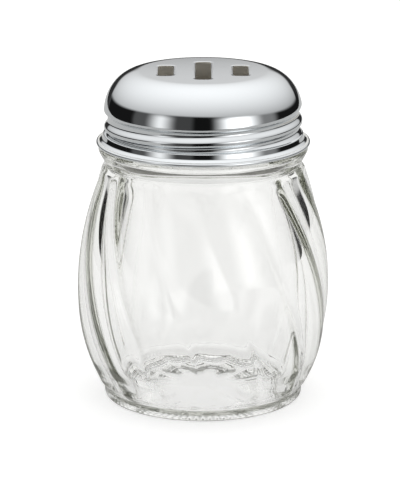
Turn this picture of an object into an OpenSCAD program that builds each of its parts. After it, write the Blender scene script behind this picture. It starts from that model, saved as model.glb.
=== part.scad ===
// Table shaker for grated cheese: a swirl-fluted glass jar, a slotted screw lid and its sealing ring.
// Millimetres, +Z up, origin at the middle of the ring that the jar stands on, front towards -Y.

/* [Jar body] */
// Widest diameter, over the crests of the flutes
belly_d = 76; // [72:0.5:90]
// Height of the widest place above the heel
belly_rise = 28.5; // [24:0.1:34]
// Reach of the top of the shoulder beyond the neck
shoulder_reach = 2.3; // [1.5:0.1:3.5]
// Height of the top of the shoulder above the widest place
shoulder_rise = 38.6; // [32:0.2:44]
// Glass thickness of the body, at the flute crests
wall = 5.5; // [4:0.1:6]
// Height of the inside floor at its edge
floor_t = 2; // [1.8:0.1:6]
// Rise of the inside floor from its edge to its middle
floor_rise = 0.8; // [0.2:0.1:2]
// Radius where the inside floor turns up into the wall
floor_corner = 6.5; // [4:0.5:12]
// Height below the shoulder at which the inside starts to narrow to the mouth
throat_drop = 1.5; // [0.5:0.1:4]

/* [Flutes] */
// Number of swirled flutes
flute_count = 12; // [8:4:24]
// Depth of the valleys between two flutes
flute_depth = 0.9; // [0.4:0.1:2]
// Turn of a flute from the heel to the shoulder, in degrees
flute_turn = 42; // [0:1:60]
// Height over which the flutes fade in above the heel
flute_fade_low = 5; // [4:1:20]
// Height over which the flutes fade out under the shoulder
flute_fade_high = 6; // [4:1:16]

/* [Foot] */
// Diameter of the foot
foot_d = 60; // [56:0.2:64]
// Height of the foot, up to the heel of the fluted body
foot_h = 4.5; // [3.5:0.1:6]
// Step out from the foot to the heel, over the height of the foot
heel_step = 1.4; // [0.5:0.1:1.8]
// Radius of the foot's rounded lower edge
foot_round = 1.5; // [0.5:0.1:2.5]
// Inner diameter of the flat ring that the jar stands on
stand_ring_d = 40; // [30:1:50]
// Height of the hollow under the base
push_up = 1; // [0.5:0.1:1.2]

/* [Neck finish] */
// Diameter of the mouth
bore_d = 48.4; // [44:0.2:50]
// Step in from the shoulder to the waist under the collar
waist_step = 0.6; // [0.2:0.05:1]
// Height of the straight waist above the shoulder
waist_h = 1; // [0.5:0.1:1.5]
// Glass thickness of the neck, from the mouth to the root of the thread
lip_wall = 3.5; // [2.5:0.1:4.5]
// Reach of the collar under the lid beyond the neck
collar_reach = 3.6; // [3:0.1:4.2]
// Height of the collar's flat top above the shoulder
collar_rise = 5.4; // [4.5:0.1:8]
// Height of the straight band round the collar
collar_band = 0.4; // [0.2:0.1:1]
// Radius of the collar's upper edge
collar_round = 0.8; // [0.5:0.1:1.5]
// Height of the neck from the collar's top to the lip
neck_h = 11; // [10:0.1:13]
// Depth of the glass thread
thread_depth = 1.1; // [0.8:0.1:1.4]
// Rise of the thread in one turn
thread_pitch = 4.23; // [3.8:0.01:5]
// Width of the thread's crest
thread_crest = 0.8; // [0.5:0.1:1.2]
// Width of each flank of the thread
thread_flank = 0.6; // [0.4:0.1:0.8]
// Length of the glass thread, in degrees
thread_turn = 320; // [240:10:360]
// Angle at which the glass thread ends at the top, from the +X axis
thread_end = 38; // [0:2:60]

/* [Lid] */
// Thickness of the lid's sheet metal
sheet = 0.4; // [0.3:0.05:0.6]
// Gap between the glass thread and the lid's thread
thread_gap = 0.35; // [0.25:0.05:0.5]
// Turn of the lid's thread past the end of the glass thread, in degrees
thread_lead = 25; // [10:5:40]
// Step out from the thread band to the dome
dome_step = 1.15; // [0.8:0.05:1.6]
// Height of the step from the thread band to the dome's shoulder
dome_side_h = 1.6; // [1:0.1:4]
// Width of the dome's curved shoulder, across the lid
dome_shoulder = 10.7; // [7:0.1:14]
// Height of the dome's curved shoulder
dome_rise = 10.9; // [7:0.1:14]
// Sag of the dome's crown, from its middle to its shoulder
crown_sag = 0.1; // [0.1:0.1:1.2]
// Height from the thread band's upper end to the glass lip
ledge_drop = 0.8; // [0.6:0.1:1.2]
// Gap between the lid's thread and its skirt, across the wall
skirt_step = 0.25; // [0.15:0.05:0.6]
// Height of the skirt
skirt_h = 1.9; // [1.4:0.1:2.4]
// Outward slope of the skirt over its height
skirt_slope = 0.3; // [0.1:0.05:0.6]
// Height of the flare from the skirt to the curled rim
flare_h = 0.9; // [0.6:0.1:1.4]
// Reach of the curled rim beyond the skirt
rim_reach = 1.85; // [1.6:0.05:2.6]
// Diameter of the curl itself
curl_d = 1.5; // [1.2:0.1:1.8]
// Gap between the curl and the height of the glass collar
rim_gap = 0.3; // [0.2:0.05:0.5]

/* [Slots] */
// Width of each slot
slot_w = 4.75; // [4.2:0.05:6]
// Length of the middle slot
slot_long = 25.2; // [16:0.2:28]
// Length of each side slot
slot_short = 14.6; // [8:0.2:18]
// Distance between the middles of two slots
slot_pitch = 11.1; // [9:0.1:12]
// Radius of the slots' corners
slot_corner = 1.2; // [0.3:0.1:1.6]

/* [Sealing ring] */
// Thickness of the sealing ring
seal_t = 1.2; // [0.8:0.1:1.6]
// How far the ring reaches over the lid's thread band
seal_catch = 0.4; // [0.2:0.05:0.45]

/* [Hidden] */
$fn = 96;

// Sectors across one flute, and rings up the fluted body
FLUTE_SECTORS = 8;
BODY_RINGS = 26;
// Softness of the valley between two flutes: 0 is a sharp crease
VALLEY_SOFT = 0.12;
// Powers of the two curves that meet at the widest place
LOW_POWER = 2.4;
HIGH_POWER = 2;
// Steps of each drawn curve
CURVE_STEPS = 10;
// Step of the glass thread's sweep, and the length of each tapered end of a thread, in degrees
THREAD_STEP = 6;
THREAD_TAPER = 36;
// Share of the thread's depth by which its root is sunk into the neck
ROOT_SHARE = 0.5;
// Radius of the lip's edges, as a share of the neck's thickness
LIP_SHARE = 0.25;
// Angles between which the lid's curl is round, from its upper inside to its foot
CURL_FROM = 120;
CURL_TO = -180;
// Sectors round the lid's thread band, and its rows up the wall
BAND_SECTORS = 72;
BAND_ROWS = 26;
// Length by which two joined stretches of one piece run into each other, and the step at such a joint
LAP = 0.3;
LAP_STEP = 0.12;
// Height of the slope between the lid's skirt and its thread band
STEP_H = 0.5;
// Allowance by which a cut runs past the surface that it opens
CUT = 1;

heel_z = foot_h;
belly_z = heel_z + belly_rise;
shoulder_z = belly_z + shoulder_rise;
collar_z = shoulder_z + collar_rise;
lip_z = collar_z + neck_h;

foot_r = foot_d / 2;
heel_r = foot_r + heel_step;
belly_r = belly_d / 2;
bore_r = bore_d / 2;
neck_r = bore_r + lip_wall;
lip_round = lip_wall * LIP_SHARE;
shoulder_r = neck_r + shoulder_reach;
waist_r = shoulder_r - waist_step;
collar_r = neck_r + collar_reach;

band_in_r = neck_r + thread_gap;
band_r = band_in_r + sheet;
dome_r = band_r + dome_step;
skirt_r = band_r + thread_depth + skirt_step;
curl_r = curl_d / 2;
rim_r = skirt_r + skirt_slope + rim_reach;
rim_top_z = collar_z + rim_gap + curl_d;
skirt_z = rim_top_z + flare_h;
band_z = skirt_z + skirt_h;
band_top_z = lip_z - ledge_drop;
dome_side_z = band_top_z + dome_side_h;
dome_top_z = dome_side_z + dome_rise + crown_sag;
seal_r = band_in_r + seal_catch;

// The lid's thread is the glass thread, let out by the gap and then by the sheet
lid_crest_in = thread_crest + thread_gap;
lid_crest_out = lid_crest_in + sheet;
lid_thread_end = thread_end + thread_lead;
lid_thread_end_z = band_top_z - lid_crest_out / 2 - thread_flank - LAP_STEP;

// Smooth step from 0 to 1
function ease(t) = let (u = min(1, max(0, t))) u * u * (3 - 2 * u);

// Points of an arc about a centre, from one angle to another
function arc(centre, r, from, to) =
    [for (i = [0:CURVE_STEPS]) let (t = from + (to - from) * i / CURVE_STEPS) centre + r * [cos(t), sin(t)]];

function reversed(points) = [for (i = [len(points) - 1:-1:0]) points[i]];

// Point at an angle, a radius and a height
function polar(t, r, z) = [r * cos(t), r * sin(t), z];

// Radius of the body over its flute crests at height z
function body_r(z) =
    z < belly_z
        ? belly_r - (belly_r - heel_r) * pow((belly_z - z) / belly_rise, LOW_POWER)
        : belly_r - (belly_r - shoulder_r) * pow((z - belly_z) / shoulder_rise, HIGH_POWER);

// Share of the full flute depth at height z
function flute_share(z) = ease((z - heel_z) / flute_fade_low) * ease((shoulder_z - z) / flute_fade_high);

// Depth below the crest, from 0 to 1, at a share u of the way across one flute
function valley(u) =
    let (top = sqrt(1 + VALLEY_SOFT ^ 2))
    (top - sqrt(cos(180 * u) ^ 2 + VALLEY_SOFT ^ 2)) / (top - VALLEY_SOFT);

// Turn of the flutes at height z: none at the widest place, so that a crest faces each axis there
function swirl(z) = -flute_turn * (z - belly_z) / (shoulder_z - heel_z);

// Height of the middle of the thread at angle t
function thread_height(t) = lid_thread_end_z + thread_pitch * (t - lid_thread_end) / 360;

// Faces between two rows of n points, each row closed on itself
function ribbon(low, high, n) = [
    for (i = [0:n - 1])
        let (k = (i + 1) % n)
        each [[low + i, high + i, low + k], [low + k, high + i, high + k]]
];

// Solid from rings of equal length, with a flat cap at each end
module capped_skin(rings) {
    n = len(rings[0]);
    m = len(rings);
    first = [for (i = [0:n - 1]) i];
    last = [for (i = [n - 1:-1:0]) (m - 1) * n + i];
    polyhedron(
        [for (ring = rings) each ring],
        concat([first], [for (j = [0:m - 2]) each ribbon(j * n, (j + 1) * n, n)], [last])
    );
}

// Solid from rings of equal length, where the last ring meets the first again
module closed_skin(rings) {
    n = len(rings[0]);
    m = len(rings);
    polyhedron(
        [for (ring = rings) each ring],
        [for (j = [0:m - 1]) each ribbon(j * n, ((j + 1) % m) * n, n)]
    );
}

// Glass jar

// Ring of the fluted body at height z
function body_ring(z) =
    let (n = flute_count * FLUTE_SECTORS, depth = flute_depth * flute_share(z))
    [for (i = [0:n - 1]) polar(360 * i / n + swirl(z), body_r(z) - depth * valley(i / FLUTE_SECTORS), z)];

module fluted_body() {
    capped_skin([for (j = [0:BODY_RINGS]) body_ring(heel_z + (shoulder_z - heel_z) * j / BODY_RINGS)]);
}

module foot() {
    top_r = heel_r - LAP_STEP;
    rotate_extrude()
        polygon(concat(
            [[0, 0]],
            arc([foot_r - foot_round, foot_round], foot_round, -90, 0),
            [[top_r, heel_z], [top_r, heel_z + LAP], [0, heel_z + LAP]]
        ));
}

module neck() {
    rotate_extrude()
        polygon(concat(
            [[0, shoulder_z - LAP], [waist_r, shoulder_z - LAP], [waist_r, shoulder_z + waist_h]],
            [[collar_r, collar_z - collar_round - collar_band]],
            arc([collar_r - collar_round, collar_z - collar_round], collar_round, 0, 90),
            [[neck_r, collar_z]],
            arc([neck_r - lip_round, lip_z - lip_round], lip_round, 0, 90),
            [[0, lip_z]]
        ));
}

// Right-hand thread round the neck, tapered at both ends and rooted in the glass
module glass_thread() {
    from = thread_end - thread_turn;
    count = ceil(thread_turn / THREAD_STEP);
    root_r = neck_r - thread_depth * ROOT_SHARE;
    half = thread_crest / 2;
    base_half = half + thread_flank * (1 + ROOT_SHARE);
    capped_skin([
        for (i = [0:count])
            let (
                t = from + thread_turn * i / count,
                share = ease(min(t - from, thread_end - t) / THREAD_TAPER),
                crest_r = neck_r - LAP + (thread_depth + LAP) * share,
                z = thread_height(t)
            )
            [
                polar(t, root_r, z - base_half),
                polar(t, crest_r, z - half),
                polar(t, crest_r, z + half),
                polar(t, root_r, z + base_half)
            ]
    ]);
}

// Space inside the jar, open at the mouth
module cavity() {
    corner_z = floor_t + floor_corner;
    corner_r = body_r(corner_z) - wall;
    flat_r = corner_r - floor_corner;
    throat_z = shoulder_z - throat_drop;
    throat_r = body_r(throat_z) - wall;
    rotate_extrude()
        polygon(concat(
            [
                for (i = [0:CURVE_STEPS - 1])
                    let (u = i / CURVE_STEPS)
                    [flat_r * u, floor_t + floor_rise * (1 - u ^ 2)]
            ],
            arc([flat_r, corner_z], floor_corner, -90, 0),
            [
                for (i = [1:2 * CURVE_STEPS])
                    let (z = corner_z + (throat_z - corner_z) * i / (2 * CURVE_STEPS))
                    [body_r(z) - wall, z]
            ],
            [
                for (i = [1:CURVE_STEPS])
                    let (u = i / CURVE_STEPS)
                    [throat_r + (bore_r - throat_r) * sin(90 * u), throat_z + (collar_z - throat_z) * u]
            ],
            arc([bore_r + lip_round, lip_z - lip_round], lip_round, 180, 90),
            [[bore_r + lip_round, lip_z + CUT], [0, lip_z + CUT]]
        ));
}

// Hollow under the base, which leaves a flat ring to stand on
module hollow_under() {
    r = stand_ring_d / 2;
    ball_r = (r ^ 2 + push_up ^ 2) / (2 * push_up);
    translate([0, 0, push_up - ball_r])
        sphere(r = ball_r);
}

module glass_jar() {
    color("lightcyan", 0.4)
        difference() {
            union() {
                foot();
                fluted_body();
                neck();
                glass_thread();
            }
            cavity();
            hollow_under();
        }
}

// Screw lid

// Line of the dome's sheet from the middle of the crown to the thread band, set in by an inset
function dome_line(inset) =
    let (r = dome_r - inset, flat = dome_r - dome_shoulder, top = dome_top_z - inset)
    concat(
        [for (i = [0:CURVE_STEPS - 1]) let (u = i / CURVE_STEPS) [flat * u, top - crown_sag * u ^ 2]],
        [
            for (i = [0:2 * CURVE_STEPS])
                let (t = 90 * (1 - i / (2 * CURVE_STEPS)))
                [flat + (r - flat) * cos(t), dome_side_z + (dome_rise - inset) * sin(t)]
        ],
        [
            for (i = [1:CURVE_STEPS])
                let (u = i / CURVE_STEPS)
                [r - dome_step * ease(u), dome_side_z - dome_side_h * u]
        ]
    );

module dome() {
    rotate_extrude()
        polygon(concat(dome_line(0), reversed(dome_line(sheet))));
}

// Outer radius of the plain wall from the skirt up to the thread band
function wall_r(z) =
    z > band_z - STEP_H
        ? skirt_r + (band_r - skirt_r) * ease((z - band_z + STEP_H) / STEP_H)
        : skirt_r + skirt_slope * min(1, (band_z - STEP_H - z) / (skirt_h - STEP_H));

// Height of the lid's thread above its band at angle t and height z, for a crest width
function bead(t, z, crest) =
    let (away = abs(z - thread_height(t)) - crest / 2, share = ease((lid_thread_end - t) / THREAD_TAPER))
    thread_depth * share * min(1, max(0, 1 - away / thread_flank));

// The same at an angle within one turn, over every turn of the thread that passes there
function beads(t, z, crest) = max([for (turn = [-2:0]) bead(t + 360 * turn, z, crest)]);

// Closed section of the thread band at angle t: up the inside and down the outside
function band_section(t) =
    let (
        low = skirt_z - LAP,
        high = band_top_z + LAP,
        rows = [for (j = [0:BAND_ROWS]) low + (high - low) * j / BAND_ROWS],
        thin = [for (j = [0:BAND_ROWS]) j == 0 || j == BAND_ROWS ? LAP_STEP : 0],
        outer = [
            for (j = [0:BAND_ROWS])
                max(wall_r(rows[j]), band_r + beads(t, rows[j], lid_crest_out)) - thin[j]
        ],
        inner = [
            for (j = [0:BAND_ROWS])
                max(wall_r(rows[j] + sheet) - sheet, band_in_r + beads(t, rows[j], lid_crest_in)) + thin[j]
        ]
    )
    concat(
        [for (j = [0:BAND_ROWS]) polar(t, inner[j], rows[j])],
        [for (j = [BAND_ROWS:-1:0]) polar(t, outer[j], rows[j])]
    );

module thread_band() {
    closed_skin([for (i = [0:BAND_SECTORS - 1]) band_section(360 * i / BAND_SECTORS)]);
}

// Flare at the foot of the skirt and the curled rim
module rim() {
    top_r = wall_r(skirt_z);
    curl_mid_r = rim_r - curl_r;
    rotate_extrude()
        polygon(concat(
            [[top_r - sheet, skirt_z], [top_r, skirt_z]],
            arc([curl_mid_r, rim_top_z - curl_r], curl_r, CURL_FROM, CURL_TO)
        ));
}

// Outline of a slot with rounded corners
module slot(length) {
    square([slot_w - 2 * slot_corner, length], center = true);
    square([slot_w, length - 2 * slot_corner], center = true);
    for (x = [-1, 1], y = [-1, 1])
        translate([x * (slot_w / 2 - slot_corner), y * (length / 2 - slot_corner)])
            circle(slot_corner);
}

module screw_lid() {
    cut_h = sheet + crown_sag + 2 * CUT;
    color("silver")
        difference() {
            union() {
                dome();
                thread_band();
                rim();
            }
            for (side = [-1, 0, 1])
                translate([side * slot_pitch, 0, dome_top_z + CUT - cut_h])
                    linear_extrude(cut_h)
                        slot(side == 0 ? slot_long : slot_short);
        }
}

// Sealing ring

module seal_ring() {
    color("white")
        translate([0, 0, lip_z])
            difference() {
                cylinder(r = seal_r, h = seal_t);
                translate([0, 0, -CUT])
                    cylinder(r = bore_r + lip_round, h = seal_t + 2 * CUT);
            }
}

glass_jar();
screw_lid();
seal_ring();
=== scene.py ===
"""Looks of a table shaker for grated cheese: swirl-fluted pressed glass under a domed chrome screw lid.

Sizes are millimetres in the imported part's frame, +Z up and the front towards -Y. Meshes come out in metres.
"""

import logging
import math
from collections.abc import Callable, Iterable
from dataclasses import dataclass, field
from enum import Enum

import bpy
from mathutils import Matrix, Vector

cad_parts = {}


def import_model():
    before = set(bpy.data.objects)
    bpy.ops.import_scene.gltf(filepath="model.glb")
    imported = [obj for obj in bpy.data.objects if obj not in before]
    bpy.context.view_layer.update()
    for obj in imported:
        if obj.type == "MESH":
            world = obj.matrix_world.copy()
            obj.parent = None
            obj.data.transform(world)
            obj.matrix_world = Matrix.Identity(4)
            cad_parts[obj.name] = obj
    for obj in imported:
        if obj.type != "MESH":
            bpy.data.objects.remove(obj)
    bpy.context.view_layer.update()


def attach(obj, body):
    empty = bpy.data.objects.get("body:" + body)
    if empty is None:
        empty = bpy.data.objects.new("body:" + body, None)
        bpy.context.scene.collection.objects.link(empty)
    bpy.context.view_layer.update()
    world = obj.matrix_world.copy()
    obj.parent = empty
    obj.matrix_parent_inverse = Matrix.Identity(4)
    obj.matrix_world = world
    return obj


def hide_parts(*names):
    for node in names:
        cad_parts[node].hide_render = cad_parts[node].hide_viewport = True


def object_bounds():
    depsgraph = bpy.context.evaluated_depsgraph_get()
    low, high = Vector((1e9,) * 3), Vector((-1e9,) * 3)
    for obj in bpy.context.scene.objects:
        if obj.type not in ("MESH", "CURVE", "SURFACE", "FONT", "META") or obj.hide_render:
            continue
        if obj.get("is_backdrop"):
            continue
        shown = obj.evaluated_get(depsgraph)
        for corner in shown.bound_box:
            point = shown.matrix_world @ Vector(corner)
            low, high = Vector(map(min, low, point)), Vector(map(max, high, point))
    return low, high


LOG = logging.getLogger("shaker")
MM = 0.001
SAME_MM = 1e-4
NEAR_MM = 0.01
MERGE_M = 1e-6
ROW_NUDGE = 1e-4
CORNER_SHARE = 0.49
Point = tuple[float, float]


class Body(Enum):
    """The CAD bodies that pieces ride on."""

    JAR = "jar"
    RING = "ring"
    LID = "lid"


class Slot(Enum):
    """The record's material slots."""

    GLASS = "clear_glass"
    CHROME = "chrome_plate"
    SEAL = "seal_plastic"


class Mark(Enum):
    """What a stretch of a profile takes part in."""

    PLAIN = "plain"
    FLUTED = "fluted"
    ECHOED = "echoed"
    THREADED = "threaded"
    KNURLED = "knurled"
    STIPPLED = "stippled"
    ROLLED = "rolled"
    LINED = "lined"
    DOMED = "domed"
    CROWN = "crown"


def linear(code: str) -> tuple[float, float, float, float]:
    """Turns an sRGB hex colour into the linear colour that shaders take.

    Args:
        code: The colour as #RRGGBB.

    Returns:
        Linear red, green, blue and an alpha of 1.
    """
    parts = [int(code[i : i + 2], 16) / 255 for i in (1, 3, 5)]
    red, green, blue = (p / 12.92 if p <= 0.04045 else ((p + 0.055) / 1.055) ** 2.4 for p in parts)
    return red, green, blue, 1.0


def ease(t: float) -> float:
    """Smooth step from 0 to 1.

    Args:
        t: Where along the step, clamped to 0 and 1.

    Returns:
        The eased share.
    """
    u = min(1.0, max(0.0, t))
    return u * u * (3 - 2 * u)


class Field:
    """A number that a node tree works out. Arithmetic on it adds math nodes."""

    def __init__(self, graph: "Graph", socket: bpy.types.NodeSocket) -> None:
        """Wraps an output socket.

        Args:
            graph: The tree that holds the socket.
            socket: The output that carries the number.
        """
        self.graph = graph
        self.socket = socket

    def do(self, operation: str, *others: "Field | float") -> "Field":
        """Applies one math operation to this number.

        Args:
            operation: Blender's name of the operation.
            others: The further operands.

        Returns:
            The result.
        """
        return self.graph.out("ShaderNodeMath", 0, dict(enumerate((self, *others))), operation=operation)

    def __add__(self, other: "Field | float") -> "Field":
        """Returns the sum."""
        return self.do("ADD", other)

    def __sub__(self, other: "Field | float") -> "Field":
        """Returns the difference."""
        return self.do("SUBTRACT", other)

    def __rsub__(self, other: float) -> "Field":
        """Returns the difference from a constant."""
        return self.graph.out("ShaderNodeMath", 0, {0: other, 1: self}, operation="SUBTRACT")

    def __mul__(self, other: "Field | float") -> "Field":
        """Returns the product."""
        return self.do("MULTIPLY", other)

    def __truediv__(self, other: "Field | float") -> "Field":
        """Returns the quotient."""
        return self.do("DIVIDE", other)

    def __abs__(self) -> "Field":
        """Returns the size without its sign."""
        return self.do("ABSOLUTE")

    __radd__ = __add__
    __rmul__ = __mul__


Value = Field | bpy.types.NodeSocket | float | int | tuple | bpy.types.Material
Inputs = dict[str | int, Value]


class Graph:
    """A geometry or shader node tree under construction."""

    def __init__(self, tree: bpy.types.NodeTree) -> None:
        """Starts on a tree.

        Args:
            tree: The tree that gets the nodes.
        """
        self.tree = tree

    @classmethod
    def fresh(cls, owner: bpy.types.Material | bpy.types.World) -> "Graph":
        """Starts on the emptied shader tree of a material or a world.

        Args:
            owner: The material or the world.

        Returns:
            The tree under construction.
        """
        owner.use_nodes = True
        owner.node_tree.nodes.clear()
        return cls(owner.node_tree)

    def add(self, kind: str, inputs: Inputs | None = None, **settings: object) -> bpy.types.Node:
        """Adds one node.

        Args:
            kind: The node's type name.
            inputs: Values or sources for its inputs, by name or by number.
            settings: The node's own properties.

        Returns:
            The node.
        """
        node = self.tree.nodes.new(kind)
        for name, setting in settings.items():
            setattr(node, name, setting)
        for name, value in (inputs or {}).items():
            self.feed(self.pick(node.inputs, name), value)
        return node

    @staticmethod
    def pick(sockets: Iterable[bpy.types.NodeSocket], name: str | int) -> bpy.types.NodeSocket:
        """Finds a socket that is in use.

        Args:
            sockets: A node's inputs or outputs.
            name: The socket's name or number.

        Returns:
            The socket.
        """
        if isinstance(name, int):
            return sockets[name]
        return next(s for s in sockets if s.name == name and s.enabled)

    def feed(self, socket: bpy.types.NodeSocket, value: Value) -> None:
        """Links a source to an input, or sets the input's own value.

        Args:
            socket: The input.
            value: A field, an output socket or a constant.
        """
        if isinstance(value, Field):
            self.tree.links.new(value.socket, socket)
        elif isinstance(value, bpy.types.NodeSocket):
            self.tree.links.new(value, socket)
        else:
            socket.default_value = value

    def out(self, kind: str, name: str | int = 0, inputs: Inputs | None = None, **settings: object) -> Field:
        """Adds a node and gives one of its outputs.

        Args:
            kind: The node's type name.
            name: The output's name or number.
            inputs: Values or sources for its inputs.
            settings: The node's own properties.

        Returns:
            The output as a field.
        """
        return Field(self, self.pick(self.add(kind, inputs, **settings).outputs, name))

    def ramp(self, value: Field, low: Field | float, high: Field | float) -> Field:
        """Smooth step of a value between two limits.

        Args:
            value: The value.
            low: Where the step is 0.
            high: Where the step is 1.

        Returns:
            The eased share from 0 to 1.
        """
        inputs = {"Value": value, "From Min": low, "From Max": high}
        return self.out("ShaderNodeMapRange", "Result", inputs, interpolation_type="SMOOTHSTEP")

    def blend(self, share: Field, first: Field | float, second: Field | float) -> Field:
        """Goes from one number to another.

        Args:
            share: 0 for the first, 1 for the second.
            first: The first number.
            second: The second number.

        Returns:
            The number between them.
        """
        change = share * (second - first)
        return first + change if isinstance(first, Field) else change + first


@dataclass
class Profile:
    """Half section of a turned piece: points of radius and height, and what each takes part in."""

    points: list[Point] = field(default_factory=list)
    marks: list[Mark] = field(default_factory=list)

    def run(self, points: Iterable[Point], mark: Mark = Mark.PLAIN) -> None:
        """Appends a stretch, and leaves out a point that repeats the last one.

        Args:
            points: Radius and height of each point.
            mark: What the stretch takes part in.
        """
        for point in points:
            if not self.points or math.dist(point, self.points[-1]) > SAME_MM:
                self.points.append(point)
                self.marks.append(mark)

    @staticmethod
    def rounded(corners: list[tuple[float, float, float]], step: float) -> list[Point]:
        """Draws straight stretches with rounded corners.

        Args:
            corners: Radius, height and rounding of each corner; the two ends are not rounded.
            step: The longest distance between two points.

        Returns:
            The points.
        """
        path: list[Vector] = [Vector(corners[0][:2])]
        for before, (x, y, size), after in zip(corners, corners[1:-1], corners[2:]):
            corner = Vector((x, y))
            back, ahead = (Vector(p[:2]) - corner for p in (before, after))
            half = back.angle(ahead) / 2
            reach = min(size / math.tan(half), CORNER_SHARE * back.length, CORNER_SHARE * ahead.length)
            start, end = corner + back.normalized() * reach, corner + ahead.normalized() * reach
            count = max(2, math.ceil((math.pi - 2 * half) * reach * math.tan(half) / step))
            for i in range(count + 1):
                t = i / count
                # A weighted quadratic curve with this weight is the exact arc.
                w = math.sin(half)
                a, b, c = (1 - t) ** 2, 2 * w * t * (1 - t), t * t
                path.append((start * a + corner * b + end * c) / (a + b + c))
        path.append(Vector(corners[-1][:2]))
        points: list[Point] = [tuple(path[0])]
        for one, two in zip(path, path[1:]):
            count = max(1, math.ceil((two - one).length / step))
            points += [tuple(one.lerp(two, (i + 1) / count)) for i in range(count)]
        return points


@dataclass(frozen=True)
class Spot:
    """A place on a turned piece, as fields, for the rule that shapes it."""

    angle: Field
    r: Field
    z: Field
    size: dict[str, Field]
    mark: dict[Mark, Field]


Rule = Callable[[Graph, Spot], tuple[Field, Field]]
Cutter = Callable[[Graph, dict[str, Field]], list[bpy.types.NodeSocket]]


@dataclass(frozen=True)
class Lining:
    """Another finish for the faces that look towards a point on the axis."""

    material: bpy.types.Material
    eye_z: float

    def towards(self, graph: Graph) -> Field:
        """Tells which faces the lining covers.

        Args:
            graph: The tree.

        Returns:
            1 on a face that looks towards the point, otherwise 0.
        """
        place = graph.out("GeometryNodeInputPosition")
        inputs = {0: place, 1: (0.0, 0.0, self.eye_z * MM)}
        away = graph.out("ShaderNodeVectorMath", "Vector", inputs, operation="SUBTRACT")
        inputs = {0: away, 1: graph.out("GeometryNodeInputNormal")}
        lean = graph.out("ShaderNodeVectorMath", "Value", inputs, operation="DOT_PRODUCT")
        return lean.do("LESS_THAN", 0.0)


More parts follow.
